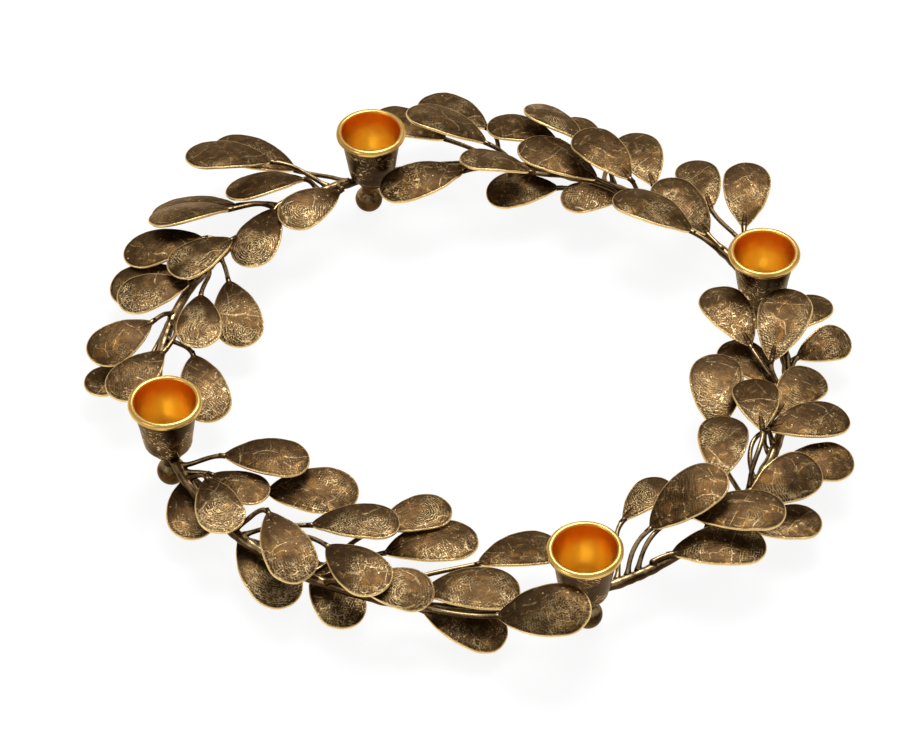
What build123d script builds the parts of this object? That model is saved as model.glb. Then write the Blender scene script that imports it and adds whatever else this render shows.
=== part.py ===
from build123d import *
import os
from math import cos, degrees, radians, sin, sqrt, tan

# Candle ring: leafy branches bent into a ring, with candle cups on ball feet.
# Millimetres. The ring's axis is Z, its centre is the origin and the feet stand on Z = 0.
# Angles are counted from +X towards +Y, which is also the way the branches grow.

# Ring
RING_R = 147.0
BAR_Z = 20.0
BAR_D = 4.6
JOINT_GAP = 0.3

# Round pad at the start of each bar, under its cup
PAD_D = 15.0
PAD_H = 2.8
PAD_FLAT = 6.2

# Candle cup
CUP_BASE_R = 10.6
CUP_TAPER = 0.15
CUP_WALL = 1.0
CUP_FLOOR = 1.4
CUP_CORNER_R = 3.0
FLARE_Z = 44.5
FLARE_R = 4.0
LIP_Z = 48.3
LIP_R = 17.0
LIP_ROLL_R = 1.7

# Screw that holds a cup on its pad
SCREW_D = 4.0
SCREW_CLEARANCE = 0.3
SCREW_IN_PAD = 2.0
SCREW_HOLE_END = 0.4
HEAD_D = 8.0
HEAD_H = 2.2
HEAD_ROUND = 0.8
SLOT_W = 1.2
SLOT_DEPTH = 1.0

# Ball foot
BALL_D = 13.4
FOOT_FLAT_D = 5.0
NECK_D = 7.0
FOOT_SHIFT = 2.0

# Leaf blades: domed sheet with a round tip and a narrow root
LEAF_T = 1.2
DOME_R = 60.0
SIDE_R = 36.0
ROOT_W = 2.6
BLANKS = {
    "long": (42.0, 24.0),
    "large": (39.0, 23.0),
    "medium": (35.0, 22.0),
    "small": (29.0, 19.0),
}

# Leaf stalks: round wire that leaves the bar forwards and sideways
STALK_D = 2.2
BUD_PITCH = 2.0
TAKEOFF_ALONG = 3.0
TAKEOFF_ASIDE = 4.0
RUN_IN = 4.0
BEND_R = 3.0

# Where the cups stand round the ring
CUP_AT = {"back": 109.0, "left": 198.0, "front": 289.0, "right": 20.0}

# Sprigs of each branch: the first bud's angle past the cup, then one row for each leaf:
# root angle past the cup, root distance outside the ring circle, root height,
# swing towards the ring's centre, lift of the tip, roll of the inner edge upwards, blank.
SPRIGS = {
    "back": [
        (4.5, [
            (11.5, 23, 18, -45, 10, 5, "long"),
            (9.5, -13, 29, 10, 0, -10, "medium"),
            (16, 23, 30, -35, 5, 10, "long"),
            (13, 7, 26, -15, 0, 15, "large"),
        ]),
        (16, [
            (22, -2, 25, 30, -5, 5, "large"),
            (25, 18, 20, -30, 0, 15, "long"),
            (29, 11, 29, -35, 0, 20, "large"),
        ]),
        (32.5, [
            (36, 11, 24, -40, -5, 0, "large"),
            (36.5, -8, 34, -20, -5, 0, "medium"),
        ]),
        (36.5, [
            (43, -16, 22, 40, -10, 0, "large"),
            (43, 6, 17, -50, -5, -10, "large"),
            (50.5, -10, 26, 20, 0, 0, "medium"),
            (47.5, 0, 25, -50, -5, -10, "medium"),
        ]),
        (54.5, [
            (60, 7, 27, -40, -5, -10, "medium"),
            (67, -2, 26, -35, -5, -5, "medium"),
            (66, 10, 14, -50, 0, 0, "small"),
            (66, -16, 22, 20, -10, 0, "large"),
        ]),
    ],
    "left": [
        (3, [
            (6, -5, 12, -20, 0, 0, "large"),
            (9, -20, 26, 55, 0, 0, "large"),
            (11.5, -11, 23, 30, 0, 0, "small"),
            (14, -5, 29, -15, 0, 0, "medium"),
        ]),
        (13, [
            (19, -29, 16, 50, 0, 10, "long"),
            (25, -3, 14, -10, -10, 0, "long"),
        ]),
        (24, [
            (30, -10, 34, -25, -10, 0, "large"),
            (37, -21, 28, 35, 0, -5, "large"),
            (40, -14, 13, -35, -5, 0, "large"),
            (43.5, -11, 31, -22, 5, 5, "large"),
        ]),
        (41, [
            (49, -37, 23, 45, 0, 0, "medium"),
            (52.5, -28, 19, 30, 0, 0, "long"),
            (51.5, 3, 30, 12, -5, 10, "medium"),
        ]),
        (55, [
            (73, -25, 22, 20, -5, -5, "large"),
            (63, -4, 12, -15, -5, 5, "large"),
            (63, -5, 24, 8, 0, 0, "long"),
            (75.6, 12, 28, -13, 15, 20, "long"),
        ]),
    ],
    "front": [
        (6, [
            (14, -24, 30, 15, 5, -10, "small"),
            (16.5, -12, 31, -3, 20, 0, "long"),
            (24, -5, 32, -45, 5, 0, "long"),
            (17.5, 1, 24, -30, 0, 0, "long"),
        ]),
        (26, [
            (35, -10, 32, 30, 0, 0, "large"),
            (35, 6, 27, -20, 0, 20, "large"),
            (33, 8, 14, -45, 0, 0, "medium"),
        ]),
        (37, [
            (52.5, -29, 20, 15, 10, 0, "long"),
            (50, -6, 33, 25, -5, 0, "medium"),
            (52, -4, 28, -55, -5, 0, "large"),
            (47, 5, 19, -60, 0, 10, "medium"),
        ]),
        (49, [
            (67, -7, 20, 40, 0, 0, "medium"),
            (57.5, -4, 25, -25, 0, 10, "medium"),
        ]),
        (63.5, [
            (69, -8, 32, -15, 10, 0, "long"),
            (75, -17, 28, 20, 5, 0, "large"),
            (75, 6, 18, -65, 0, 20, "small"),
            (80, 4, 23, -50, 0, 0, "small"),
        ]),
    ],
    "right": [
        (6, [
            (14, 12, 30, -40, 10, 0, "large"),
            (23, 13, 24, -30, 0, 0, "medium"),
            (18.5, -12, 32, 20, 5, 10, "long"),
            (18.3, -1, 24, -3, 10, 0, "large"),
        ]),
        (30.5, [
            (38, -9, 23, 30, 0, -10, "small"),
            (35, 10, 22, -40, 0, 0, "large"),
            (37, -4, 34, -20, 5, 0, "large"),
        ]),
        (37, [
            (51.5, -12, 21, 20, -5, -10, "medium"),
            (44.5, -3, 25, 0, 10, 5, "long"),
            (50, 16, 30, -20, 5, 20, "medium"),
            (47, 25, 20, -25, 0, 10, "small"),
        ]),
        (47, [
            (55, 17, 26, -5, 0, 5, "medium"),
            (57, -17, 33, 0, 5, 15, "medium"),
        ]),
        (59, [
            (71.5, -19.5, 33, 15, -5, 0, "long"),
            (67, 3, 32, -20, 10, 15, "long"),
            (67, 23, 24, -30, 0, 5, "large"),
            (74, 22, 18, -25, 5, 5, "large"),
        ]),
    ],
}
ORDER = list(CUP_AT)

# Places that follow from the sizes above
BAR_TOP = BAR_Z + BAR_D / 2
PAD_UNDER = BAR_Z - BAR_D / 2
PAD_TOP = PAD_UNDER + PAD_H
FLOOR_TOP = PAD_TOP + CUP_FLOOR
SCREW_END = PAD_TOP - SCREW_IN_PAD
HOLE_R = SCREW_D / 2 + SCREW_CLEARANCE
SEAT_R = CUP_BASE_R + CUP_TAPER * (BAR_TOP - PAD_TOP) + JOINT_GAP
UP = (Align.CENTER, Align.CENTER, Align.MIN)


def on_ring(angle, radius, height):
    """Point at an angle, a distance from the ring's axis and a height."""
    return Vector(radius * cos(radians(angle)), radius * sin(radians(angle)), height)


def at_cup(name):
    """Frame on a cup's axis at floor level, with X pointing away from the ring's centre."""
    return Location(on_ring(CUP_AT[name], RING_R, 0)) * Rot(0, 0, CUP_AT[name])


def next_cup(name):
    """The cup at which a branch ends."""
    return ORDER[(ORDER.index(name) + 1) % len(ORDER)]


def bar_span(name):
    """Angle from a cup to the flat of the next pad."""
    turn = (CUP_AT[next_cup(name)] - CUP_AT[name]) % 360
    return turn - degrees(PAD_FLAT / RING_R)


def ring_rod(start, span, diameter):
    """Round rod that follows the ring circle."""
    section = Plane.XZ * Pos(RING_R, BAR_Z) * Circle(diameter / 2)
    return Rot(0, 0, start) * revolve(section, Axis.Z, span)


def cup_seat(name, under):
    """Space round the bottom of a cup, from a little under its pad's top if asked."""
    return at_cup(name) * Pos(0, 0, PAD_TOP - under) * Cylinder(SEAT_R, BAR_D, align=UP)


def bar(name):
    """Quarter of the ring with the pad, its screw hole, the flat for the bar before it and cup seats."""
    pad = Pos(0, 0, PAD_UNDER) * Cylinder(PAD_D / 2, PAD_H, align=UP)
    hole = Pos(0, 0, SCREW_END - SCREW_HOLE_END) * Cylinder(HOLE_R, BAR_D, align=UP)
    block = Box(2 * PAD_D, PAD_D, 2 * BAR_D, align=(Align.CENTER, Align.MAX, Align.CENTER))
    flat_at = CUP_AT[name] - degrees(PAD_FLAT / RING_R)
    bar_before = Rot(0, 0, flat_at) * Pos(RING_R, 0, BAR_Z) * block
    rod = ring_rod(CUP_AT[name], bar_span(name), BAR_D)
    whole = rod + (at_cup(name) * pad - bar_before) - at_cup(name) * hole
    return whole - cup_seat(name, 0) - cup_seat(next_cup(name), 0)


def bar_room():
    """Space of all bars, pads and cup bottoms with the joint gap, which the stalks stay out of."""
    room = ring_rod(0, 360, BAR_D + 2 * JOINT_GAP)
    for name in ORDER:
        pad = Cylinder(PAD_D / 2 + JOINT_GAP, PAD_H + 2 * JOINT_GAP, align=UP)
        room += at_cup(name) * Pos(0, 0, PAD_UNDER - JOINT_GAP) * pad
        room += cup_seat(name, JOINT_GAP)
    return room


def cup_radius(height):
    """Outer radius of a cup's tapered wall."""
    return CUP_BASE_R + CUP_TAPER * (height - PAD_TOP)


def cup():
    """Spun cup with a rounded bottom corner, a tapered wall and a rolled lip."""
    lip_mid_r = LIP_R - LIP_ROLL_R
    outside = FilletPolyline(
        (HOLE_R, PAD_TOP),
        (cup_radius(PAD_TOP), PAD_TOP),
        (cup_radius(FLARE_Z), FLARE_Z),
        (lip_mid_r, LIP_Z - CUP_WALL / 2),
        radius=(CUP_CORNER_R + CUP_WALL, FLARE_R),
    )
    inside = FilletPolyline(
        (HOLE_R, FLOOR_TOP),
        (cup_radius(FLOOR_TOP) - CUP_WALL, FLOOR_TOP),
        (cup_radius(FLARE_Z) - CUP_WALL, FLARE_Z + CUP_WALL / 2),
        (lip_mid_r, LIP_Z + CUP_WALL / 2),
        radius=(CUP_CORNER_R, FLARE_R + CUP_WALL),
    )
    ends = [Line(outside @ 0, inside @ 0), Line(outside @ 1, inside @ 1)]
    section = make_face([outside, inside] + ends)
    wall = revolve(Plane.XZ * section, Axis.Z)
    roll = Pos(0, 0, LIP_Z) * Torus(lip_mid_r, LIP_ROLL_R)
    return wall + roll


def cup_screw():
    """Slotted round-head screw."""
    head = Pos(0, 0, FLOOR_TOP) * Cylinder(HEAD_D / 2, HEAD_H, align=UP)
    head = fillet(head.edges().group_by(Axis.Z)[-1], HEAD_ROUND)
    slot = Pos(0, 0, FLOOR_TOP + HEAD_H - SLOT_DEPTH) * Box(2 * HEAD_D, SLOT_W, HEAD_H, align=UP)
    shank = Pos(0, 0, SCREW_END) * Cylinder(SCREW_D / 2, FLOOR_TOP - SCREW_END, align=UP)
    return head - slot + shank


def ball_foot():
    """Ball with a flat to stand on and a neck up to the pad."""
    middle = sqrt((BALL_D / 2) ** 2 - (FOOT_FLAT_D / 2) ** 2)
    ball = Pos(0, 0, middle) * Sphere(BALL_D / 2)
    neck = Pos(0, 0, middle) * Cylinder(NECK_D / 2, PAD_UNDER - middle, align=UP)
    above_table = Cylinder(BALL_D, PAD_UNDER, align=UP)
    return (ball + neck) & above_table


def leaf_outline(length, width):
    """Leaf shape along X: root edge, two side arcs and a round tip that meets them smoothly."""
    tip_r = width / 2
    root = Vector(0, ROOT_W / 2)
    tip_middle = Vector(length - tip_r, 0)
    reach = (root - tip_middle).length
    along = ((SIDE_R - tip_r) ** 2 - SIDE_R**2 + reach**2) / (2 * reach)
    drop = sqrt((SIDE_R - tip_r) ** 2 - along**2)
    to_root = (root - tip_middle).normalized()
    side_middle = tip_middle + to_root * along - Vector(to_root.Y, -to_root.X) * drop
    meet = tip_middle + (tip_middle - side_middle).normalized() * tip_r
    half = side_middle + ((root + meet) * 0.5 - side_middle).normalized() * SIDE_R
    upper = ThreePointArc(root, half, meet)
    tip = ThreePointArc(meet, (length, 0), (meet.X, -meet.Y))
    lower = mirror(upper, Plane.XZ)
    edge = Line((0, -ROOT_W / 2), (0, ROOT_W / 2))
    return make_face([upper, tip, lower, edge])


def leaf_blade(length, width):
    """Domed blade: root at the origin, chord along X, dome towards Z."""
    middle_z = -sqrt(DOME_R**2 - (length / 2) ** 2)
    where = Pos(length / 2, 0, middle_z) * Rot(90, 0, 0)
    shell = where * Sphere(DOME_R + LEAF_T / 2) - where * Sphere(DOME_R - LEAF_T / 2)
    prism = Pos(0, 0, -width / 2) * extrude(leaf_outline(length, width), width)
    return prism & shell


def leaf_place(cup_angle, row):
    """Frame of a leaf: origin at its root, X to its tip, Z out of its domed face."""
    station, out, height, swing, lift, roll, blank = row
    angle = cup_angle + station
    root = Location(on_ring(angle, RING_R + out, height))
    return root * Rot(0, 0, angle + 90 + swing) * Rot(0, -lift, 0) * Rot(roll, 0, 0)


def bend_radii(points):
    """Bend radius at each inner point, kept small enough for the runs on both sides."""
    radii = []
    for before, here, after in zip(points, points[1:], points[2:]):
        turn = radians((here - before).get_angle(after - here))
        room = 0.45 * min((here - before).length, (after - here).length)
        radii.append(min(BEND_R, room / tan(turn / 2)))
    return radii


def stalk(cup_angle, bud, row, room):
    """Wire from a bud on the bar to a leaf's root."""
    place = leaf_place(cup_angle, row)
    heading = Plane(place).x_dir
    angle = cup_angle + bud
    start = on_ring(angle, RING_R, BAR_Z)
    forward = on_ring(angle + 90, 1, 0)
    root = place.position
    run_in = root - heading * RUN_IN
    aside = run_in - start
    aside = (aside - forward * aside.dot(forward)).normalized()
    leave = start + forward * TAKEOFF_ALONG + aside * TAKEOFF_ASIDE
    points = [start, leave, run_in, root]
    path = FilletPolyline(*points, radius=bend_radii(points))
    section = Plane(origin=path @ 0, z_dir=path % 0) * Circle(STALK_D / 2)
    return sweep(section, path) - room


def save(name, solids):
    """Write one node."""
    node = Compound(children=solids) if len(solids) > 1 else solids[0]
    export_step(node, f"parts/{name}.step")


os.makedirs("parts", exist_ok=True)
ROOM = bar_room()
BLADES = {blank: leaf_blade(*size) for blank, size in BLANKS.items()}
for cup_name in ORDER:
    cup_frame = at_cup(cup_name)
    foot_frame = Rot(0, 0, degrees(FOOT_SHIFT / RING_R)) * cup_frame
    save(f"bar_{cup_name}", [bar(cup_name)])
    save(f"cup_{cup_name}", [cup_frame * cup()])
    save(f"screw_{cup_name}", [cup_frame * cup_screw()])
    save(f"foot_{cup_name}", [foot_frame * ball_foot()])
    for number, (first_bud, rows) in enumerate(SPRIGS[cup_name], 1):
        leaves = []
        stalks = []
        for index, row in enumerate(rows):
            bud = first_bud + index * BUD_PITCH
            leaves.append(leaf_place(CUP_AT[cup_name], row) * BLADES[row[-1]])
            stalks.append(stalk(CUP_AT[cup_name], bud, row, ROOM))
        save(f"leaves_{cup_name}_{number}", leaves)
        save(f"stalks_{cup_name}_{number}", stalks)
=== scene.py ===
import math
import random

import bpy
import numpy as np
from mathutils import Matrix, Vector, noise


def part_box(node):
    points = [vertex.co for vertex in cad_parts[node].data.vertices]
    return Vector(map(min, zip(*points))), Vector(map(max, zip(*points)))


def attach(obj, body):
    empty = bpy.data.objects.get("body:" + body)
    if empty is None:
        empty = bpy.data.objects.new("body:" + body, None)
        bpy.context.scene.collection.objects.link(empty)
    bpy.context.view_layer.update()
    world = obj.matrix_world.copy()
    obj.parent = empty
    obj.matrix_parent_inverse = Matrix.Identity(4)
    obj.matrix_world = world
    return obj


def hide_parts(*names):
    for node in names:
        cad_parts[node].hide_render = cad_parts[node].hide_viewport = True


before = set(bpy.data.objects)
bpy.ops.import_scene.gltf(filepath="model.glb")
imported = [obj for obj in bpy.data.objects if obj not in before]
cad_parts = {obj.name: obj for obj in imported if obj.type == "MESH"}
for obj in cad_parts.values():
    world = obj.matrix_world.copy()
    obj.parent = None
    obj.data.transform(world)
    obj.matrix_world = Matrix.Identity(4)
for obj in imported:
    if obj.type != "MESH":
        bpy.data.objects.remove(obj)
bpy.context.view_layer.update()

# Candle ring: leafy brass branches bent into a ring, with candle cups on ball feet.
# Lengths are in millimetres here and go to metres when a mesh is made.
MM = 0.001
BRANCHES = ("back", "left", "front", "right")

# Reading a blade from the frame
END_SHARE = 0.2
END_BAND = 0.25
FIT_ROUNDS = 4

# Leaf blades
SIDE_ARC = 36.0
ROOT_WIDTH = 2.6
OUTLINE_POINTS = 96
ARC_POINTS = 60
TOP_RINGS = 16
UNDER_RINGS = 5
# Edge of a blade from its middle line to the top: inset from the edge, share of half the thickness.
RIM_PROFILE = ((0.05, 0.40), (0.18, 0.80), (0.42, 1.12), (0.80, 1.08), (1.40, 1.0))
RIM_FULL_FROM = 6.0
RIM_AT_ROOT = 0.3
# Inset that stands for the open face of a blade, far from its rim.
FACE_INSET = 9.0
EDGE_WAVER = 0.022
EDGE_WAVER_SIZE = 7.0
FACE_WAVE = 0.40
FACE_WAVE_SIZE = 13.0
FACE_WAVE_FROM = 10.0
FACE_WAVE_SEED = 0.37
BEATEN_DEPTH = 0.10
BEATEN_SIZE = 2.6
BEATEN_SEED = 0.71
TOP_SIDE = 0.9

# Wear of a blade, and the painted light, painted shade and painted sheen on it
# Where the whorl of its marks may lie, from the blade's heart, as shares of its length and width.
WHORL_ALONG = (-0.25, 0.15)
WHORL_ACROSS = (-0.2, 0.2)
MARKS_APART = 17.3
KIND_CONTRAST = 1.5
LEAST_POLISH = 0.20
WEAR_SIZE = 10.0
WEAR_SEED = 0.13
LIT_NEAR_SIDE_REACH = 9.0
RIM_REACH = 1.15
UNDER_RIM = 0.3
GROOVE_INSET = 1.4
GROOVE_REACH = 0.5

# Rib at a blade's root: distance from the root, half its width, half its height.
NECK_STATIONS = (
    (-3.0, 1.16, 1.16),
    (-1.6, 1.22, 1.20),
    (0.0, 1.5, 1.12),
    (2.0, 1.75, 1.0),
    (4.5, 1.6, 0.86),
    (7.5, 1.1, 0.70),
    (9.5, 0.5, 0.4),
)
NECK_SIDES = 16
# Painted shade on the neck of every blade.
NECK_SHADE = 0.5

# Leaf stalks
STALK_SIDES = 16
STALK_POINTS = 30
STALK_RADIUS = 1.12
BUD_FLARE = 0.75
BUD_FLARE_LENGTH = 2.6
ROOT_FLARE = 0.12
ROOT_FLARE_LENGTH = 4.0
STALK_UNEVENNESS = 0.10
STALK_BUMP_SIZE = 4.0
STALK_PULL = 0.40
STALK_INTO_BAR = 1.6
STALK_INTO_LEAF = 0.5
BUD_BAND = 0.6
# Stretch of a stalk, measured from its bud, that shows which way it leaves the bar.
LEAVING_FROM = 2.0
LEAVING_TO = 4.5
STALK_SIDE_HINT = (0.3, 0.2, 0.9)

# Twig bars and their pads
BAR_STATIONS = 190
BAR_SIDES = 20
BAR_END_GAP = 6.2
BAR_SLIMMER = 0.12
BUD_SWELLING = 0.45
BUD_SWELLING_LENGTH = 3.0
BARK_UNEVENNESS = 0.16
BARK_BUMP_SIZE = 5.5
PAD_RADIUS = 7.5
PAD_ROUND = 1.0
PAD_MIDDLE = 0.05
PAD_SIDES = 64
PAD_UNEVENNESS = 0.5
SEAT_RADIUS = 11.2
SEAT_GAP = 0.1

# Candle cups
CUP_BASE_RADIUS = 10.6
CUP_TAPER = 0.15
CUP_WALL = 1.0
CUP_FLOOR = 1.4
CUP_BASE_ROUND = 4.0
CUP_FLARE_ROUND = 4.0
FLARE_BELOW_RIM = 5.5
SOCKET_FLOOR_ROUND = 3.0
SOCKET_FLARE_ROUND = 5.0
SOCKET_FLARE_LIFT = 0.5
LIP_ROLL = 1.7
LIP_TURN = math.radians(125)
LIP_POINTS = 22
# Where the outside and the socket meet the lip, from the middle of its roll.
OUTSIDE_MEETS_LIP = (-0.4, -0.9)
SOCKET_MEETS_LIP = (-1.2, 0.4)
SCREW_HOLE = 2.3
CUP_SIDES = 112
CUP_UNEVENNESS = 0.16
# Between these depths below the rim the inside turns from its orange to a deeper painted shade near the lip.
ORANGE_BELOW_RIM = 14.0
DEEP_BELOW_RIM = 3.5

# Seeds of the uneven surfaces
NOISE_STEPS = (7.31, 3.17, 5.73)
CUP_SEED = 0.5
BAR_SEED = 0.25
PAD_SEED = 0.5
FIRST_SPRIG_SEED = 11
SPRIG_SEED_STEP = 7

# Turned forms
PROFILE_STEP = 1.2
ROUNDING_STEPS = 8
TURNED_BUMP_SIZE = 6.0
TURNED_LEAST_RADIUS = 3.0

# Pitch of the rubbed lines
HATCH_PITCH = 1.15
CROSS_HATCH_PITCH = 1.3
ARC_PITCH = 1.15
SCRATCH_PITCH = 12.0
CROSS_SCRATCH_PITCH = 14.0
SCRIBBLE_PITCH = 2.2

# Wave texture scale at which ripples are one unit of length apart.
ONE_RIPPLE = 0.314
BUMP_STRENGTH = 0.8

# Floor, lamps and camera, in metres, watts and degrees
FLOOR_HALF = 4.0
FLOOR_GREY = 0.17
FLOOR_GLOW = 0.88
SKY_STRENGTH = 0.50
# Each lamp: name, place, aim, side of its square, power.
LAMPS = (
    ("key", (0.18, 0.70, 1.65), (0.0, 0.0, 0.0), 0.95, 18.0),
    ("front_left", (-1.4, -1.1, 1.0), (0.0, 0.0, 0.02), 0.8, 5.0),
)
SENSOR_WIDTH = 36.0
LENS_LENGTH = 155.16
CAMERA_PLACE = (-0.00927, -1.29581, 1.30033)
CAMERA_LIFT = 44.69
CAMERA_ROLL = -0.56
CAMERA_RANGE = 20.0


# Colours of the finishes

def rgb(red, green, blue):
    return (red, green, blue, 1.0)


# The darkest patina; the blades also get their painted shade in it.
DARK_PATINA_AND_SHADE = rgb(0.0315, 0.0138, 0.0038)
BROWN_PATINA = rgb(0.0760, 0.0378, 0.0115)
# Painted grey sheen of the blades.
GREY_SHEEN = rgb(0.0925, 0.0535, 0.0240)
AMBER_PATINA = rgb(0.205, 0.091, 0.0147)
# Brown of brushed brass and of wear, and a painted glow on the blades.
GLOW_AND_RUBBED_BROWN = rgb(0.250, 0.138, 0.047)
# Gold of wear marks, and a painted highlight on the upper side of twigs, stalks and feet.
RUBBED_AND_LIT_GOLD = rgb(0.88, 0.640, 0.325)
WORN_EDGE = rgb(0.96, 0.675, 0.290)
WARM_GLINT = rgb(1.0, 0.78, 0.56)
CUP_GLINT = rgb(1.0, 0.80, 0.60)
CUP_DARK = rgb(0.017, 0.0078, 0.0022)
CUP_BROWN = rgb(0.042, 0.0195, 0.0055)
BALL_AMBER = rgb(0.105, 0.046, 0.0080)
LIP_GOLD = rgb(0.82, 0.520, 0.155)
LIP_SHADE = rgb(0.41, 0.217, 0.046)
CUP_ORANGE = rgb(1.0, 0.76, 0.220)
# Painted shade of the cup's inside, near the lip.
CUP_SHADED_ORANGE = rgb(0.92, 0.32, 0.018)
WHITE = rgb(1.0, 1.0, 1.0)


# Shader building

class Flow:
    """A shader value that takes part in plain arithmetic."""

    def __init__(self, finish, socket):
        self.finish = finish
        self.socket = socket

    def maths(self, operation, first, second):
        return self.finish.node("ShaderNodeMath", {"operation": operation}, {0: first, 1: second})

    def __add__(self, other):
        return self.maths("ADD", self, other)

    def __radd__(self, other):
        return self.maths("ADD", other, self)

    def __sub__(self, other):
        return self.maths("SUBTRACT", self, other)

    def __rsub__(self, other):
        return self.maths("SUBTRACT", other, self)

    def __mul__(self, other):
        return self.maths("MULTIPLY", self, other)

    def __rmul__(self, other):
        return self.maths("MULTIPLY", other, self)


class Finish:
    """A node tree and the one way in which nodes are added to it."""

    def __init__(self, owner):
        owner.use_nodes = True
        self.owner = owner
        self.tree = owner.node_tree
        self.tree.nodes.clear()

    def node(self, kind, settings, sockets, output=0):
        """Adds a node: its settings first, then the values and links of its sockets."""
        made = self.tree.nodes.new(kind)
        for name, value in settings.items():
            setattr(made, name, value)
        for name, value in sockets.items():
            if isinstance(value, Flow):
                self.tree.links.new(value.socket, made.inputs[name])
            else:
                made.inputs[name].default_value = value
        return Flow(self, made.outputs[output]) if made.outputs else None

    def carried(self, name):
        """Number that a mesh carries at each point."""
        return self.node("ShaderNodeAttribute", {"attribute_name": name}, {}, 2)

    def carried_vector(self, name):
        """Vector that a mesh carries at each point."""
        return self.node("ShaderNodeAttribute", {"attribute_name": name}, {}, 1)

    def place(self):
        """Object coordinates."""
        return self.node("ShaderNodeTexCoord", {}, {}, 3)

    def blend(self, mask, under, over):
        """Colour that goes from under to over as the mask goes from 0 to 1."""
        return self.node("ShaderNodeMix", {"data_type": "RGBA"}, {0: mask, 6: under, 7: over}, 2)

    def rise(self, value, low, high):
        """Smooth step from 0 at low to 1 at high."""
        return self.node(
            "ShaderNodeMapRange",
            {"interpolation_type": "SMOOTHSTEP"},
            {"Value": value, "From Min": low, "From Max": high},
        )

    def larger(self, first, second):
        return self.node("ShaderNodeMath", {"operation": "MAXIMUM"}, {0: first, 1: second})

    def grain(self, place, scale, detail=2.0, roughness=0.5, distortion=0.0):
        """Cloudy noise from 0 to 1."""
        sockets = {"Vector": place, "Scale": scale, "Detail": detail}
        sockets["Roughness"] = roughness
        sockets["Distortion"] = distortion
        return self.node("ShaderNodeTexNoise", {}, sockets)

    def cells(self, place, scale, scatter=1.0):
        """Distance from the nearest of many scattered points."""
        sockets = {"Vector": place, "Scale": scale, "Randomness": scatter}
        return self.node("ShaderNodeTexVoronoi", {"feature": "F1"}, sockets)

    def seams(self, place, scale):
        """Distance from the nearest seam of a net."""
        sockets = {"Vector": place, "Scale": scale}
        return self.node("ShaderNodeTexVoronoi", {"feature": "DISTANCE_TO_EDGE"}, sockets)

    def ripples(self, place, kind, pitch, distortion, coarse):
        """Uneven bands or rings, a pitch apart."""
        settings = {"wave_type": kind, "rings_direction": "Z", "wave_profile": "SIN"}
        sockets = {"Vector": place, "Scale": ONE_RIPPLE / pitch, "Distortion": distortion}
        sockets["Detail"] = 1.5
        sockets["Detail Scale"] = coarse
        return self.node("ShaderNodeTexWave", settings, sockets, 1)

    def strayed(self, place, noise_place, scale, reach):
        """Coordinates pushed about by a soft noise."""
        push = self.node("ShaderNodeTexNoise", {}, {"Vector": noise_place, "Scale": scale, "Detail": 2.0}, 1)
        sockets = {0: push, 1: reach, 2: place}
        return self.node("ShaderNodeVectorMath", {"operation": "MULTIPLY_ADD"}, sockets)

    def turned(self, place, angles):
        return self.node("ShaderNodeMapping", {}, {"Vector": place, "Rotation": angles})

    def combed(self, place, stretch):
        return self.node("ShaderNodeMapping", {}, {"Vector": place, "Scale": stretch})

    def part(self, vector, axis):
        return self.node("ShaderNodeSeparateXYZ", {}, {"Vector": vector}, axis)

    def metal(self, colour, roughness, height, depth, bare=1.0, glint=WARM_GLINT):
        """Metal with a relief of the given depth, bare where it is free of patina."""
        sockets = {"Strength": BUMP_STRENGTH, "Distance": depth * MM, "Height": height}
        lift = self.node("ShaderNodeBump", {}, sockets)
        sockets = {"Base Color": colour, "Roughness": roughness, "Metallic": bare, "Normal": lift}
        sockets["Specular Tint"] = glint
        surface = self.node("ShaderNodeBsdfPrincipled", {}, sockets)
        self.node("ShaderNodeOutputMaterial", {}, {"Surface": surface})
        return self.owner


def leaf_hatching(f, marks, across):
    """Two sets of fine lines that cross, each in its own places."""
    rows = f.rise(f.ripples(marks, "BANDS", HATCH_PITCH, 1.6, 0.45), 0.72, 0.97)
    rows = rows * f.rise(f.grain(marks, 0.33, 2.0, 0.5), 0.44, 0.56)
    columns = f.rise(f.ripples(across, "BANDS", CROSS_HATCH_PITCH, 1.4, 0.45), 0.76, 0.98)
    columns = columns * f.rise(f.grain(across, 0.30, 2.0, 0.5), 0.48, 0.60)
    return f.larger(rows, columns)


def leaf_scratches(f, marks, across):
    """A few long thin scratches that cross."""
    long_ones = f.rise(f.ripples(marks, "BANDS", SCRATCH_PITCH, 3.0, 2.6), 0.988, 0.9995)
    long_ones = long_ones * f.rise(f.grain(across, 0.13, 2.0, 0.5), 0.48, 0.56)
    cross_ones = f.rise(f.ripples(across, "BANDS", CROSS_SCRATCH_PITCH, 3.0, 2.6), 0.990, 0.9995)
    cross_ones = cross_ones * f.rise(f.grain(marks, 0.15, 2.0, 0.5), 0.48, 0.56)
    return f.larger(long_ones, cross_ones)


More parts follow.
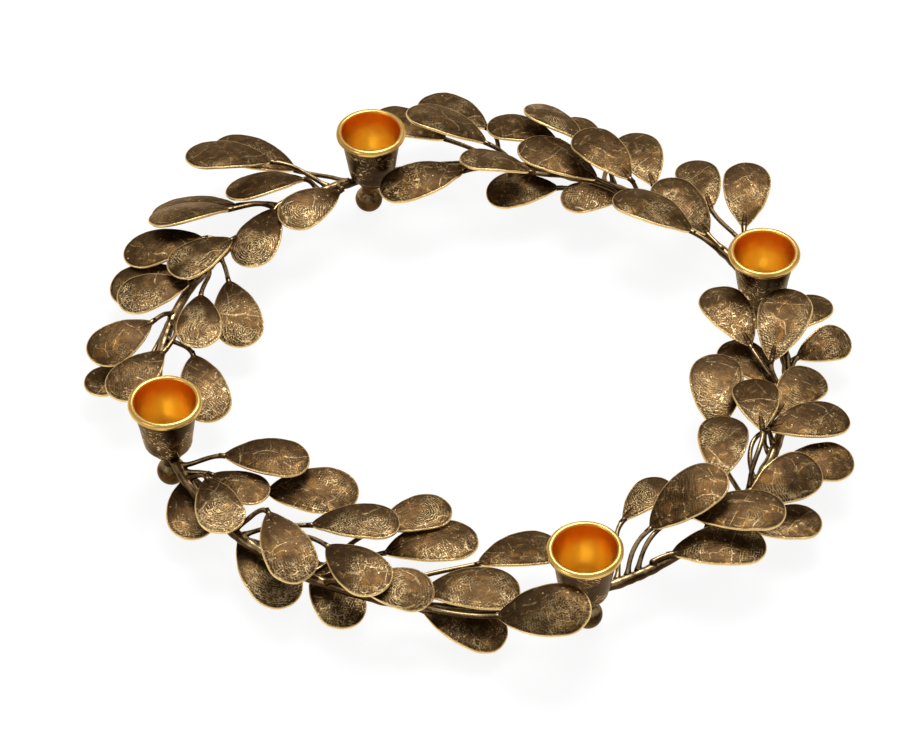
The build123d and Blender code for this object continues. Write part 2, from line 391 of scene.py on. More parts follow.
def leaf_marks(f, marks, worn, breaks, clouds, patches):
    """Rubbed marks of a blade: its own mix of arcs, hatching and scales, and the finer ones over it."""
    kinds = f.carried_vector("kinds")
    across = f.turned(marks, (0.0, 0.0, 1.30))
    bent = f.strayed(marks, marks, 0.22, (3.0, 3.0, 0.0))
    curled = f.strayed(bent, marks, 0.42, (1.8, 1.8, 0.0))
    arcs = f.rise(f.ripples(bent, "RINGS", ARC_PITCH, 2.6, 0.4), 0.64, 0.95) * f.part(kinds, 0)
    hatch = leaf_hatching(f, marks, across) * f.part(kinds, 1)
    scales = (1.0 - f.rise(f.cells(marks, 0.95, 0.8), 0.20, 0.40)) * f.part(kinds, 2)
    crackle = 1.0 - f.rise(f.seams(bent, 0.34), 0.02, 0.09)
    crackle = crackle * f.rise(f.grain(across, 0.26, 2.0, 0.5), 0.50, 0.60)
    flecks = f.rise(f.grain(marks, 1.35, 2.0, 0.6), 0.58, 0.68)
    veins = 1.0 - f.rise(f.seams(curled, 0.115), 0.010, 0.036)
    veins = veins * f.rise(patches, 0.46, 0.60) * (0.40 + 0.60 * breaks)
    scratches = leaf_scratches(f, marks, across) * (0.40 + 0.60 * breaks)
    dots = (1.0 - f.rise(f.cells(marks, 0.30), 0.08, 0.16)) * f.rise(clouds, 0.46, 0.60)
    lines = f.larger(arcs, f.larger(hatch, scales)) * (0.30 + 0.70 * breaks)
    # The marks brighten with the wear value, which also holds painted light toward the near side and the
    # tip.
    lines = f.larger(lines, crackle * 0.75) * f.rise(worn, 0.04, 0.68)
    lines = f.larger(lines, f.larger(flecks * (0.05 + 0.30 * worn), veins * (0.22 + 0.4 * worn)))
    lines = f.larger(lines, scratches * (0.32 + 0.40 * worn))
    return f.larger(lines, dots * 0.8)


def leaf_finish():
    """Satin brown patina with golden marks and a golden rim where wear bares the metal; painted light gives
    a glow toward the near side and the tip, painted shade darkens the root, the far side and the under side,
    and a painted grey sheen lies toward the far side.
    """
    f = Finish(bpy.data.materials.new("leaf_patina_painted_light"))
    marks = f.carried_vector("marks")
    worn = f.carried("worn")
    under = f.carried("under")
    groove = f.carried("groove")
    shade = f.carried("shade")
    clouds = f.grain(marks, 0.12, 3.0, 0.55)
    patches = f.grain(marks, 0.20, 1.0, 0.4, 0.6)
    speckle = f.grain(marks, 1.5, 3.0, 0.65)
    brushed = f.rise(f.grain(f.combed(marks, (0.30, 2.6, 1.0)), 0.8, 3.0, 0.6), 0.46, 0.70)
    breaks = f.rise(f.grain(marks, 0.70, 3.0, 0.7), 0.42, 0.58)
    lines = leaf_marks(f, marks, worn, breaks, clouds, patches) * (1.0 - under)
    edge = f.rise(f.carried("rim"), 0.42, 0.66)
    tone = f.blend(f.rise(clouds, 0.34, 0.66), DARK_PATINA_AND_SHADE, BROWN_PATINA)
    tone = f.blend(f.rise(patches, 0.48, 0.70) * 0.6, tone, AMBER_PATINA)
    # Painted sheen: greyer toward the far side of a blade.
    tone = f.blend(f.carried("sheen") * 0.8, tone, GREY_SHEEN)
    # Painted glow: lighter brown where the wear value, which holds painted light toward the near side and
    # tip, is high; real brushed streaks too.
    tone = f.blend(worn * (0.14 + 0.08 * breaks) + brushed * 0.22, tone, GLOW_AND_RUBBED_BROWN)
    # Painted shade: darker toward the root, the far side and the under side, and the golden marks dim there;
    # the groove inside the rim goes darker too.
    tone = f.blend(f.larger(shade * 0.75, f.larger(under * 0.4, groove * 0.7)), tone, DARK_PATINA_AND_SHADE)
    tone = f.blend(lines * (1.0 - 0.6 * groove) * (1.0 - 0.45 * shade), tone, RUBBED_AND_LIT_GOLD)
    tone = f.blend(edge, tone, WORN_EDGE)
    bare = f.larger(lines, edge)
    dull = 0.35 - 0.07 * bare + (speckle - 0.5) * 0.06
    height = lines * 0.9 + brushed * 0.25 + (speckle - 0.5) * 0.08
    return f.metal(tone, dull, height, 0.22, 0.85 + 0.15 * bare)


def twig_finish(name, dark, brown, rubbed_and_lit_from=0.50):
    """Dark patina that turns gold on the upper side, from wear and as a painted highlight from the light
    above.
    """
    f = Finish(bpy.data.materials.new(name))
    place = f.place()
    clouds = f.grain(place, 150.0, 3.0, 0.6)
    speckle = f.grain(place, 900.0, 3.0, 0.6)
    facing = f.node("ShaderNodeNewGeometry", {}, {}, 1)
    # Painted highlight: faces turned up go gold, as the light from above would make them, besides real wear.
    rubbed_and_lit = f.rise(f.part(facing, 2) + (clouds - 0.5) * 1.1, rubbed_and_lit_from, rubbed_and_lit_from + 0.50)
    tone = f.blend(f.rise(clouds, 0.35, 0.68), dark, brown)
    tone = f.blend(rubbed_and_lit * (0.34 + 0.16 * f.rise(speckle, 0.36, 0.6)), tone, RUBBED_AND_LIT_GOLD)
    dull = 0.34 - 0.08 * rubbed_and_lit + (speckle - 0.5) * 0.10
    return f.metal(tone, dull, clouds + speckle * 0.10, 0.16, 0.85 + 0.15 * rubbed_and_lit)


def cup_outside_finish():
    """Dark satin patina with patches of scribbled golden lines."""
    f = Finish(bpy.data.materials.new("cup_patina"))
    place = f.place()
    clouds = f.grain(place, 80.0, 2.0, 0.5)
    speckle = f.grain(place, 1300.0, 3.0, 0.65)
    bent = f.strayed(place, place, 110.0, (0.022, 0.022, 0.022))
    slanted = f.turned(bent, (0.5, 1.1, 0.3))
    scribble = f.rise(f.ripples(slanted, "BANDS", SCRIBBLE_PITCH * MM, 2.0, 0.4), 0.82, 0.98)
    breaks = f.rise(f.grain(place, 420.0, 3.0, 0.65), 0.44, 0.58)
    lines = scribble * breaks * f.rise(clouds, 0.42, 0.56)
    brushed = f.rise(f.grain(f.combed(place, (1.0, 1.0, 7.0)), 260.0, 3.0, 0.6), 0.44, 0.70)
    tone = f.blend(f.rise(clouds, 0.30, 0.66), CUP_DARK, CUP_BROWN)
    tone = f.blend(f.rise(clouds, 0.46, 0.70) * 0.25, tone, AMBER_PATINA)
    tone = f.blend(brushed * 0.10, tone, GLOW_AND_RUBBED_BROWN)
    tone = f.blend(lines * 0.85, tone, RUBBED_AND_LIT_GOLD)
    dull = 0.34 - 0.06 * lines + (speckle - 0.5) * 0.14
    return f.metal(tone, dull, lines * 0.7 + speckle * 0.1, 0.15, 0.85 + 0.15 * lines, CUP_GLINT)


def lip_finish():
    """Polished gold with a few darker, duller stains."""
    f = Finish(bpy.data.materials.new("lip_gold"))
    clouds = f.grain(f.place(), 95.0, 1.0, 0.4)
    stain = f.rise(clouds, 0.42, 0.68)
    tone = f.blend(stain * 0.6, LIP_GOLD, LIP_SHADE)
    dull = 0.24 + 0.10 * stain
    return f.metal(tone, dull, clouds, 0.10)


def cup_inside_finish():
    """Orange gold with soft clouds, which painted shade deepens towards the lip."""
    f = Finish(bpy.data.materials.new("cup_warm_gold"))
    place = f.place()
    clouds = f.grain(place, 120.0, 2.0, 0.5)
    height = f.part(place, 2) + (clouds - 0.5) * 6 * MM
    # Painted shade: deeper orange toward the lip.
    shade_near_lip = f.rise(height, (CUP_TOP - ORANGE_BELOW_RIM) * MM, (CUP_TOP - DEEP_BELOW_RIM) * MM)
    tone = f.blend(shade_near_lip, CUP_ORANGE, CUP_SHADED_ORANGE)
    dull = 0.36 + (clouds - 0.5) * 0.12
    return f.metal(tone, dull, clouds, 0.10)


# Reading the frame

def node_solids(node):
    """Vertices of each separate solid of a node, in millimetres."""
    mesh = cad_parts[node].data
    points = np.empty(len(mesh.vertices) * 3)
    mesh.vertices.foreach_get("co", points)
    points, same = np.unique(np.round(points.reshape(-1, 3) / MM, 4), axis=0, return_inverse=True)
    edges = np.empty(len(mesh.edges) * 2, dtype=np.int32)
    mesh.edges.foreach_get("vertices", edges)
    first, second = same.ravel()[edges.reshape(-1, 2)].T
    group = np.arange(len(points))
    while True:
        low = np.minimum(group[first], group[second])
        spread = group.copy()
        np.minimum.at(spread, first, low)
        np.minimum.at(spread, second, low)
        spread = spread[spread]
        if np.array_equal(spread, group):
            break
        group = spread
    return [points[group == name] for name in np.unique(group)]


class Blade:
    """Place, length, width, thickness and dome of one leaf of the frame."""

    def __init__(self, points, seed):
        self.seed = seed
        middle = points.mean(axis=0)
        axes = np.linalg.eigh(np.cov((points - middle).T))[1]
        along, across = axes[:, 2], axes[:, 1]
        reach = (points - middle) @ along
        aside = np.abs((points - middle) @ across)
        end = END_SHARE * np.ptp(reach)
        low_end = aside[reach < reach.min() + end].max()
        high_end = aside[reach > reach.max() - end].max()
        if low_end > high_end:
            along = -along
        for _ in range(FIT_ROUNDS):
            reach = points @ along
            self.root = points[reach < reach.min() + END_BAND].mean(axis=0)
            tip = points[reach > reach.max() - END_BAND].mean(axis=0)
            along = (tip - self.root) / np.linalg.norm(tip - self.root)
        out = np.cross(along, across)
        out /= np.linalg.norm(out)
        if ((points - self.root) @ out).mean() < 0:
            out = -out
        self.along, self.out, self.across = along, out, np.cross(out, along)
        local = (points - self.root) @ np.array([self.along, self.across, self.out]).T
        self.length = local[:, 0].max()
        self.width = np.ptp(local[:, 1])
        self.thick = np.ptp(local[local[:, 0] < END_BAND][:, 2])
        rise = local[:, 2].max() - self.thick / 2
        self.dome = ((self.length / 2) ** 2 + rise**2) / (2 * rise)

    def world(self, local):
        return self.root + local @ np.array([self.along, self.across, self.out])

    def dome_height(self, from_middle_squared):
        """Height over the dome's centre, and over the root."""
        ball = np.sqrt(self.dome**2 - from_middle_squared)
        return ball, ball - math.sqrt(self.dome**2 - (self.length / 2) ** 2)


def cup_axis(branch):
    low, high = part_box("cup_" + branch)
    return (low.x + high.x) / 2 / MM, (low.y + high.y) / 2 / MM


def from_ring_line(points):
    """Distance of points from the middle line of the ring's bars."""
    return np.hypot(np.hypot(points[:, 0], points[:, 1]) - RING_RADIUS, points[:, 2] - BAR_MIDDLE)


def bud_of(stalk_points):
    """Middle of the end at which a stalk leaves its bar."""
    away = from_ring_line(stalk_points)
    return stalk_points[away < away.min() + BUD_BAND].mean(axis=0)


CUP_ANGLE = {branch: math.atan2(*reversed(cup_axis(branch))) for branch in BRANCHES}
RING_RADIUS = sum(math.hypot(*cup_axis(branch)) for branch in BRANCHES) / len(BRANCHES)
BAR_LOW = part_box("bar_back")[0].z / MM
BAR_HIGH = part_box("bar_back")[1].z / MM
BAR_MIDDLE = (BAR_LOW + BAR_HIGH) / 2
BAR_RADIUS = (BAR_HIGH - BAR_LOW) / 2
CUP_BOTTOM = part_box("cup_back")[0].z / MM
CUP_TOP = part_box("cup_back")[1].z / MM
LIP_RADIUS = (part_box("cup_back")[1].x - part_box("cup_back")[0].x) / 2 / MM

LEAF = leaf_finish()
TWIG = twig_finish("twig_patina_lit_top", DARK_PATINA_AND_SHADE, BROWN_PATINA)
# The feet start to turn gold lower on their sides, a wider painted highlight.
BALL = twig_finish("ball_patina_lit_top", CUP_DARK, BALL_AMBER, 0.40)
CUP_OUTSIDE = cup_outside_finish()
CUP_LIP = lip_finish()
CUP_INSIDE = cup_inside_finish()
SCREW = twig_finish("screw_gold_lit_top", LIP_SHADE, LIP_GOLD)


# Mesh building

def wander(points, size, seed):
    """Smooth noise from -1 to 1 at each point, with bumps about as large as size."""
    shift = Vector([seed * step for step in NOISE_STEPS])
    return np.array([noise.noise(Vector(p) / size + shift) for p in points])


def circle(sides):
    return np.linspace(0, math.tau, sides, endpoint=False)


def path_length(path):
    """Length of a path up to each of its points."""
    return np.concatenate([[0], np.cumsum(np.linalg.norm(np.diff(path, axis=0), axis=1))])


def ring_faces(rings, around, start=0):
    """Quads between closed rings of points that follow each other."""
    faces = []
    for ring in range(rings - 1):
        base = start + ring * around
        for k in range(around):
            after = (k + 1) % around
            faces.append((base + k, base + after, base + around + after, base + around + k))
    return faces


def fan(centre, first, around, flip):
    """Triangles from a centre point to a ring."""
    faces = []
    for k in range(around):
        pair = (first + k, first + (k + 1) % around)
        faces.append((centre, *(reversed(pair) if flip else pair)))
    return faces


class Shape:
    """Points and faces of a piece, gathered part by part."""

    def __init__(self):
        self.points = []
        self.faces = []
        self.finish = []
        self.values = {}

    def add(self, points, faces, finish=None, **values):
        start = sum(len(part) for part in self.points)
        self.points.append(np.asarray(points, dtype=float))
        self.faces += [tuple(start + k for k in face) for face in faces]
        self.finish += finish or [0] * len(faces)
        for name, value in values.items():
            self.values.setdefault(name, []).append(np.asarray(value, dtype=float))

    def piece(self, name, nodes, finishes):
        mesh = bpy.data.meshes.new(name)
        mesh.from_pydata((np.vstack(self.points) * MM).tolist(), [], self.faces)
        for key, parts in self.values.items():
            value = np.concatenate(parts)
            if value.ndim == 2:
                mesh.attributes.new(key, "FLOAT_VECTOR", "POINT").data.foreach_set("vector", value.ravel())
            else:
                mesh.attributes.new(key, "FLOAT", "POINT").data.foreach_set("value", value)
        mesh.polygons.foreach_set("use_smooth", [True] * len(self.faces))
        mesh.polygons.foreach_set("material_index", self.finish)
        for finish in finishes:
            mesh.materials.append(finish)
        mesh.update()
        made = bpy.data.objects.new(name, mesh)
        bpy.context.scene.collection.objects.link(made)
        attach(made, "root")
        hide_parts(*nodes)
        return made


def arc(middle, radius, start, end, count):
    turn = np.linspace(start, end, count)
    return np.column_stack([middle[0] + radius * np.cos(turn), middle[1] + radius * np.sin(turn)])


def leaf_outline(length, width):
    """Closed leaf outline: narrow root, two side arcs and a round tip, at even steps."""
    tip_r = width / 2
    root = np.array([0.0, ROOT_WIDTH / 2])
    tip = np.array([length - tip_r, 0.0])
    to_root = root - tip
    reach = np.linalg.norm(to_root)
    to_root /= reach
    gone = ((SIDE_ARC - tip_r) ** 2 - SIDE_ARC**2 + reach**2) / (2 * reach)
    drop = math.sqrt((SIDE_ARC - tip_r) ** 2 - gone**2)
    side = tip + to_root * gone - np.array([to_root[1], -to_root[0]]) * drop
    meet = tip + (tip - side) / np.linalg.norm(tip - side) * tip_r
    start = math.atan2(*reversed(root - side))
    end = math.atan2(*reversed(meet - side))
    flank = arc(side, SIDE_ARC, start, end, ARC_POINTS)
    end = math.atan2(*reversed(meet - tip))
    nose = arc(tip, tip_r, end, -end, ARC_POINTS)
    path = np.vstack([flank, nose, (flank * (1, -1))[::-1], flank[:1]])
    gone = path_length(path)
    step = np.linspace(0, gone[-1], OUTLINE_POINTS, endpoint=False)
    return np.column_stack([np.interp(step, gone, path[:, 0]), np.interp(step, gone, path[:, 1])])


def blade_rings(edge, heart):
    """Rings from the middle of a blade's under side over its edge to the middle of its top.

    Each ring has its plan, its level as a share of half the thickness, and its inset from the edge.
    """
    tangent = np.roll(edge, -1, axis=0) - np.roll(edge, 1, axis=0)
    inward = np.column_stack([tangent[:, 1], -tangent[:, 0]])
    inward /= np.linalg.norm(inward, axis=1)[:, None]
    near_root = np.clip(edge[:, 0] / RIM_FULL_FROM, RIM_AT_ROOT, 1.0)[:, None]
    rim = [(edge + inward * inset * near_root, level, inset) for inset, level in RIM_PROFILE]
    inner = rim[-1][0]

    def face(count, level):
        return [(heart + (inner - heart) * (1 - k / count), level, FACE_INSET) for k in range(1, count)]

    top = [(edge, 0.0, 0.0)] + rim + face(TOP_RINGS, 1.0)
    below = [(plan, -min(level, 1.0), inset) for plan, level, inset in rim] + face(UNDER_RINGS, -1.0)
    return below[::-1] + top


def blade_wear(blade, heart, plan, points, level, inset):
    """Where a blade's marks lie, which kinds it has, where it wears, and where painted light, painted shade
    and a painted grey sheen fall on it.
    """
    dice = random.Random(blade.seed)
    turn = dice.uniform(0, math.tau)
    whorl = heart + [dice.uniform(*WHORL_ALONG) * blade.length, dice.uniform(*WHORL_ACROSS) * blade.width]
    spin = np.array([[math.cos(turn), math.sin(turn)], [-math.sin(turn), math.cos(turn)]])
    marks = np.column_stack([(plan - whorl) @ spin, np.full(len(plan), MARKS_APART * blade.seed)])
    kinds = np.array([dice.random() ** KIND_CONTRAST for _ in range(3)])
    polish = dice.uniform(LEAST_POLISH, 1.0)
    # Painted light: a glow toward the blade's near side and its tip. Painted shade: darker toward the root
    # and the far side. Painted sheen: greyer toward the far side. The drift noise and the polish stand for
    # uneven real wear.
    lit_near_side = -(points[:, 1] - points[:, 1].mean()) / LIT_NEAR_SIDE_REACH
    drift = wander(np.column_stack([plan, np.zeros(len(plan))]), WEAR_SIZE, blade.seed + WEAR_SEED)
    far_along = plan[:, 0] / blade.length
    rubbed_and_lit = 0.15 + drift + 0.24 * lit_near_side + 0.30 * far_along
    shaded = 0.75 - 1.4 * far_along - 0.35 * lit_near_side + 0.6 * drift
    sheen = 0.25 - 0.8 * drift - 0.35 * lit_near_side
    return {
        "marks": marks,
        "kinds": np.tile(kinds / kinds.max(), (len(plan), 1)),
        "worn": np.clip(rubbed_and_lit, 0, 1) * polish,
        "shade": np.clip(shaded, 0, 1),
        "sheen": np.clip(sheen, 0, 1),
        "under": np.clip(-level * 1.2, 0, 1),
        "rim": np.clip(RIM_REACH - inset, 0, 1) * np.where(level < -0.5, UNDER_RIM, 1.0),
        "groove": np.clip(1 - np.abs(inset - GROOVE_INSET) / GROOVE_REACH, 0, 1),
    }


def add_leaf(shape, blade):
    """One blade with a beaded rim, uneven edge and gently beaten face, and the neck at its root."""
    edge = leaf_outline(blade.length, blade.width)
    heart = np.array([blade.length - blade.width / 2, 0.0])
    flat_edge = np.column_stack([edge, np.zeros(len(edge))])
    waver = 1 + EDGE_WAVER * wander(flat_edge, EDGE_WAVER_SIZE, blade.seed)
    edge = heart + (edge - heart) * waver[:, None]
    rings = blade_rings(edge, heart)
    plans, levels, insets = zip(*rings)
    plan = np.vstack([heart[None], *plans, heart[None]])
    level = np.concatenate([[-1.0], np.repeat(levels, OUTLINE_POINTS), [1.0]])
    inset = np.concatenate([[FACE_INSET], np.repeat(insets, OUTLINE_POINTS), [FACE_INSET]])
    flat = np.column_stack([plan, np.zeros(len(plan))])
    wave = FACE_WAVE * wander(flat, FACE_WAVE_SIZE, blade.seed + FACE_WAVE_SEED)
    wave *= np.clip(plan[:, 0] / FACE_WAVE_FROM, 0.0, 1.0)
    beaten = BEATEN_DEPTH * wander(flat, BEATEN_SIZE, blade.seed + BEATEN_SEED) * (level > TOP_SIDE)
    from_middle = np.column_stack([plan[:, 0] - blade.length / 2, plan[:, 1]])
    ball, height = blade.dome_height((from_middle**2).sum(axis=1))
    out = np.column_stack([from_middle, ball]) / blade.dome
    local = np.column_stack([plan, height])
    local += out * (level * blade.thick / 2 + wave + beaten)[:, None]
    points = blade.world(local)
    last_ring = 1 + (len(rings) - 1) * OUTLINE_POINTS
    faces = ring_faces(len(rings), OUTLINE_POINTS, 1)
    faces += fan(0, 1, OUTLINE_POINTS, True)
    faces += fan(last_ring + OUTLINE_POINTS, last_ring, OUTLINE_POINTS, False)
    shape.add(points, faces, **blade_wear(blade, heart, plan, points, level, inset))
    add_neck(shape, blade)


def add_neck(shape, blade):
    """Rib that carries the stalk into the blade."""
    turn = circle(NECK_SIDES)
    plan = []
    for reach, half_width, half_height in NECK_STATIONS:
        height = blade.dome_height((max(reach, 0.0) - blade.length / 2) ** 2)[1]
        side = half_width * np.cos(turn)
        plan.append(np.column_stack([np.full(NECK_SIDES, reach), side, height + half_height * np.sin(turn)]))
    plan = np.vstack(plan)
    count = len(plan)
    faces = ring_faces(len(NECK_STATIONS), NECK_SIDES)
    faces.append(tuple(range(NECK_SIDES)))
    faces.append(tuple(range(count - 1, count - NECK_SIDES - 1, -1)))
    wear = dict.fromkeys(("worn", "sheen", "under", "rim", "groove"), np.zeros(count))
    wear["shade"] = np.full(count, NECK_SHADE)
    shape.add(blade.world(plan), faces, marks=plan, kinds=0 * plan, **wear)


def lathe(shape, profile, axis, finishes, unevenness, around, seed):
    """Turned form: radius and height of profile points round an upright axis, and each band's finish."""
    turn = circle(around)
    unit = np.column_stack([np.cos(turn), np.sin(turn), np.ones(around)])
    points = np.vstack([unit * (radius, radius, height) for radius, height in profile])
    radii = np.maximum(np.hypot(points[:, 0], points[:, 1]), TURNED_LEAST_RADIUS)
    swell = 1 + unevenness * wander(points, TURNED_BUMP_SIZE, seed) / radii
    points[:, :2] *= swell[:, None]
    points[:, :2] += axis
    shape.add(points, ring_faces(len(profile), around), np.repeat(finishes, around).tolist())


def rounded(corners):
    """Open path through corner points, each given as x, y and rounding radius."""
    path = [np.array(corners[0][:2], dtype=float)]
    for before, here, after in zip(corners, corners[1:], corners[2:]):
        corner = np.array(here[:2], dtype=float)
        back = np.array(before[:2]) - corner
        ahead = np.array(after[:2]) - corner
        back /= np.linalg.norm(back)
        ahead /= np.linalg.norm(ahead)
        half = math.acos(np.clip(back @ ahead, -1, 1)) / 2
        cut = here[2] / math.tan(half)
        start, end = corner + back * cut, corner + ahead * cut
        centre = corner + (back + ahead) / np.linalg.norm(back + ahead) * here[2] / math.sin(half)
        for share in np.linspace(0, 1, ROUNDING_STEPS):
            ray = (start - centre) * (1 - share) + (end - centre) * share
            path.append(centre + ray / np.linalg.norm(ray) * here[2])
    path.append(np.array(corners[-1][:2], dtype=float))
    return path


def fine(path):
    """Adds points on the long runs of a path."""
    made = [path[0]]
    for before, after in zip(path, path[1:]):
        count = max(1, int(np.linalg.norm(after - before) / PROFILE_STEP))
        made += [before + (after - before) * k / count for k in range(1, count + 1)]
    return made


def candle_cup(branch, seed):
    """Cup with a dark outside, a rolled golden lip and a warm golden inside."""
    roll = np.array([LIP_RADIUS - LIP_ROLL, CUP_TOP - LIP_ROLL])
    flare = CUP_TOP - FLARE_BELOW_RIM
    floor = CUP_BOTTOM + CUP_FLOOR

    def wall(height):
        return CUP_BASE_RADIUS + CUP_TAPER * (height - CUP_BOTTOM)

    outside = fine(rounded([
        (SCREW_HOLE, CUP_BOTTOM),
        (wall(CUP_BOTTOM), CUP_BOTTOM, CUP_BASE_ROUND),
        (wall(flare), flare, CUP_FLARE_ROUND),
        roll + OUTSIDE_MEETS_LIP,
    ]))
    lip = list(arc(roll, LIP_ROLL, -LIP_TURN, LIP_TURN, LIP_POINTS))
    socket = fine(rounded([
        roll + SOCKET_MEETS_LIP,
        (wall(flare) - CUP_WALL, flare + SOCKET_FLARE_LIFT, SOCKET_FLARE_ROUND),
        (wall(floor) - CUP_WALL, floor, SOCKET_FLOOR_ROUND),
        (SCREW_HOLE, floor),
    ]))
    finishes = [0] * (len(outside) - 1) + [1] * len(lip) + [2] * len(socket)
    shape = Shape()
    lathe(shape, outside + lip + socket, cup_axis(branch), finishes, CUP_UNEVENNESS, CUP_SIDES, seed)
    return shape.piece("candle_cup_" + branch, ["cup_" + branch], [CUP_OUTSIDE, CUP_LIP, CUP_INSIDE])


def bud_angles(branch):
    """Ring angles at which a branch's stalks leave its bar."""
    found = []
    for node in sorted(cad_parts):
        if node.startswith("stalks_" + branch):
            for points in node_solids(node):
                bud = bud_of(points)
                found.append(math.atan2(bud[1], bud[0]))
    return np.array(found)


def twig_bar(branch, seed):
    """Uneven twig along a quarter of the ring with a swelling at each bud, and its round pad."""
    after = BRANCHES[(BRANCHES.index(branch) + 1) % len(BRANCHES)]
    start = CUP_ANGLE[branch]
    span = (CUP_ANGLE[after] - start) % math.tau - BAR_END_GAP / RING_RADIUS
    buds = (bud_angles(branch) - start) % math.tau
    turn = circle(BAR_SIDES)
    up = np.array([0, 0, 1.0])
    points = []
    for station in np.linspace(0, span, BAR_STATIONS):
        gap = (station - buds) * RING_RADIUS
        swelling = BUD_SWELLING * np.exp(-(gap / BUD_SWELLING_LENGTH) ** 2).max()
        radius = BAR_RADIUS - BAR_SLIMMER + swelling
        outward = np.array([math.cos(start + station), math.sin(start + station), 0.0])
        middle = outward * RING_RADIUS + up * BAR_MIDDLE
        points.append(middle + radius * (np.outer(np.cos(turn), outward) + np.outer(np.sin(turn), up)))
    points = np.vstack(points)
    centre_r = np.hypot(points[:, 0], points[:, 1])
    outward = points * [1, 1, 0] / centre_r[:, None]
    lean = outward * (centre_r - RING_RADIUS)[:, None] + (points - up * BAR_MIDDLE) * up
    lean /= np.linalg.norm(lean, axis=1)[:, None]
    points += lean * (BARK_UNEVENNESS * wander(points, BARK_BUMP_SIZE, seed))[:, None]
    for cup in (branch, after):
        under_cup = np.hypot(*(points[:, :2] - cup_axis(cup)).T) < SEAT_RADIUS
        points[under_cup, 2] = np.minimum(points[under_cup, 2], CUP_BOTTOM - SEAT_GAP)
    faces = [tuple(reversed(face)) for face in ring_faces(BAR_STATIONS, BAR_SIDES)]
    faces.append(tuple(range(BAR_SIDES)))
    faces.append(tuple(range(len(points) - 1, len(points) - BAR_SIDES - 1, -1)))
    shape = Shape()
    shape.add(points, faces)
    pad = fine(rounded([
        (PAD_MIDDLE, BAR_LOW),
        (PAD_RADIUS, BAR_LOW, PAD_ROUND),
        (PAD_RADIUS, CUP_BOTTOM, PAD_ROUND),
        (PAD_MIDDLE, CUP_BOTTOM),
    ]))
    finishes = [0] * (len(pad) - 1)
    lathe(shape, pad, cup_axis(branch), finishes, PAD_UNEVENNESS, PAD_SIDES, seed + PAD_SEED)
    return shape.piece("twig_" + branch, ["bar_" + branch], [TWIG])


def stalk_line(points, blades):
    """Smooth line from a bud on the bar to the root of the stalk's own leaf."""
    bud = bud_of(points)
    reach = np.linalg.norm(points - bud, axis=1)
    leaving = points[(reach > LEAVING_FROM) & (reach < LEAVING_TO)].mean(axis=0) - bud
    leaving /= np.linalg.norm(leaving)
    leaf = min(blades, key=lambda blade: np.linalg.norm(points - blade.root, axis=1).min())
    start = bud - leaving * STALK_INTO_BAR
    end = leaf.root + leaf.along * STALK_INTO_LEAF
    pull = STALK_PULL * np.linalg.norm(end - start)
    t = np.linspace(0, 1, STALK_POINTS)[:, None]
    line = (1 - t) ** 3 * start + 3 * (1 - t) ** 2 * t * (start + leaving * pull)
    return line + 3 * (1 - t) * t**2 * (end - leaf.along * pull) + t**3 * end


def add_stalk(shape, line, seed):
    """Round tapering wire along a line, thick where it leaves the bar."""
    turn = circle(STALK_SIDES)
    ahead = np.gradient(line, axis=0)
    ahead /= np.linalg.norm(ahead, axis=1)[:, None]
    gone = path_length(line)
    radii = STALK_RADIUS + BUD_FLARE * np.exp(-((gone / BUD_FLARE_LENGTH) ** 2))
    radii += ROOT_FLARE * np.exp(-(((gone[-1] - gone) / ROOT_FLARE_LENGTH) ** 2))
    side = np.cross(ahead[0], STALK_SIDE_HINT)
    points = []
    for middle, way, radius in zip(line, ahead, radii):
        side = side - way * (side @ way)
        side /= np.linalg.norm(side)
        ring = np.outer(np.cos(turn), side) + np.outer(np.sin(turn), np.cross(way, side))
        points.append(middle + radius * ring)
    points = np.vstack(points)
    middles = np.repeat(line, STALK_SIDES, axis=0)
    swell = 1 + STALK_UNEVENNESS * wander(points, STALK_BUMP_SIZE, seed)
    points = middles + (points - middles) * swell[:, None]
    faces = ring_faces(len(line), STALK_SIDES)
    faces.append(tuple(reversed(range(STALK_SIDES))))
    faces.append(tuple(range(len(points) - STALK_SIDES, len(points))))
    shape.add(points, faces)


def leaf_sprig(node, seed):
    """Leaves of a sprig, and the stalks that carry them."""
    place = node.removeprefix("leaves_")
    blades = [Blade(points, seed + k) for k, points in enumerate(node_solids(node))]
    leaves = Shape()
    for blade in blades:
        add_leaf(leaves, blade)
    leaves.piece("sprig_" + place, [node], [LEAF])
    stalks = Shape()
    for k, points in enumerate(node_solids("stalks_" + place)):
        add_stalk(stalks, stalk_line(points, blades), seed + k)
    stalks.piece("sprig_stalks_" + place, ["stalks_" + place], [TWIG])


def dress(prefix, finish):
    """Gives the frame's own nodes of a kind their finish."""
    for node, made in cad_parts.items():
        if node.startswith(prefix):
            for slot in made.material_slots:
                slot.material = finish


for count, branch in enumerate(BRANCHES):
    candle_cup(branch, count + CUP_SEED)
    twig_bar(branch, count + BAR_SEED)
for count, node in enumerate(sorted(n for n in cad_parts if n.startswith("leaves_"))):
    leaf_sprig(node, FIRST_SPRIG_SEED + SPRIG_SEED_STEP * count)
dress("foot_", BALL)
dress("screw_", SCREW)


# Floor, light and camera

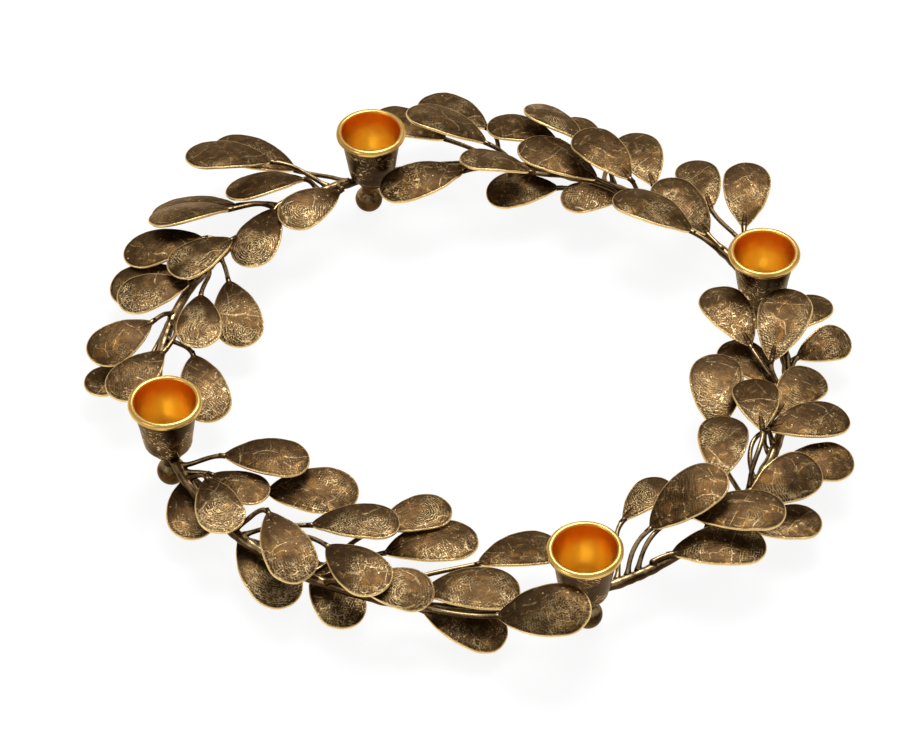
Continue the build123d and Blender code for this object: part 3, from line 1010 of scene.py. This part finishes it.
def pale_floor():
    """Wide pale floor that shows as white and keeps the shadow."""
    mesh = bpy.data.meshes.new("floor")
    corners = [(-1, -1), (1, -1), (1, 1), (-1, 1)]
    mesh.from_pydata([(FLOOR_HALF * x, FLOOR_HALF * y, 0) for x, y in corners], [], [(0, 1, 2, 3)])
    f = Finish(bpy.data.materials.new("floor_white"))
    seen = f.node("ShaderNodeLightPath", {}, {}, 0)
    mirrored = f.node("ShaderNodeLightPath", {}, {}, 3)
    through = f.node("ShaderNodeLightPath", {}, {}, 6)
    shown = f.larger(f.larger(seen, mirrored), through)
    matt = f.node("ShaderNodeBsdfDiffuse", {}, {"Color": rgb(FLOOR_GREY, FLOOR_GREY, FLOOR_GREY)})
    glow = f.node("ShaderNodeEmission", {}, {"Color": WHITE, "Strength": shown * FLOOR_GLOW})
    both = f.node("ShaderNodeAddShader", {}, {0: matt, 1: glow})
    f.node("ShaderNodeOutputMaterial", {}, {"Surface": both})
    mesh.materials.append(f.owner)
    floor = bpy.data.objects.new("floor", mesh)
    bpy.context.scene.collection.objects.link(floor)


def studio_world():
    """Even soft light all round."""
    world = bpy.data.worlds.new("studio")
    bpy.context.scene.world = world
    f = Finish(world)
    sky = f.node("ShaderNodeBackground", {}, {"Color": WHITE, "Strength": SKY_STRENGTH})
    f.node("ShaderNodeOutputWorld", {}, {"Surface": sky})


def soft_box(name, place, aim, side, power):
    """Square lamp turned towards a point."""
    lamp = bpy.data.lights.new(name, "AREA")
    lamp.shape = "RECTANGLE"
    lamp.size = side
    lamp.size_y = side
    lamp.energy = power
    made = bpy.data.objects.new(name, lamp)
    made.location = place
    made.rotation_mode = "QUATERNION"
    made.rotation_quaternion = (Vector(aim) - Vector(place)).to_track_quat("-Z", "Y")
    bpy.context.scene.collection.objects.link(made)


def photo_camera():
    """Camera at the photograph's angle."""
    lens = bpy.data.cameras.new("camera")
    lens.sensor_width = SENSOR_WIDTH
    lens.lens = LENS_LENGTH
    lens.clip_end = CAMERA_RANGE
    made = bpy.data.objects.new("camera", lens)
    lift, roll = math.radians(CAMERA_LIFT), math.radians(CAMERA_ROLL)
    back = Vector((0, -math.cos(lift), math.sin(lift)))
    level_up = Vector((0, math.sin(lift), math.cos(lift)))
    right = Vector((1, 0, 0)) * math.cos(roll) + level_up * math.sin(roll)
    up = level_up * math.cos(roll) - Vector((1, 0, 0)) * math.sin(roll)
    place = Matrix((right, up, back)).transposed().to_4x4()
    place.translation = CAMERA_PLACE
    made.matrix_world = place
    bpy.context.scene.collection.objects.link(made)
    bpy.context.scene.camera = made


pale_floor()
studio_world()
for lamp in LAMPS:
    soft_box(*lamp)
photo_camera()
bpy.context.scene.view_settings.view_transform = "Standard"
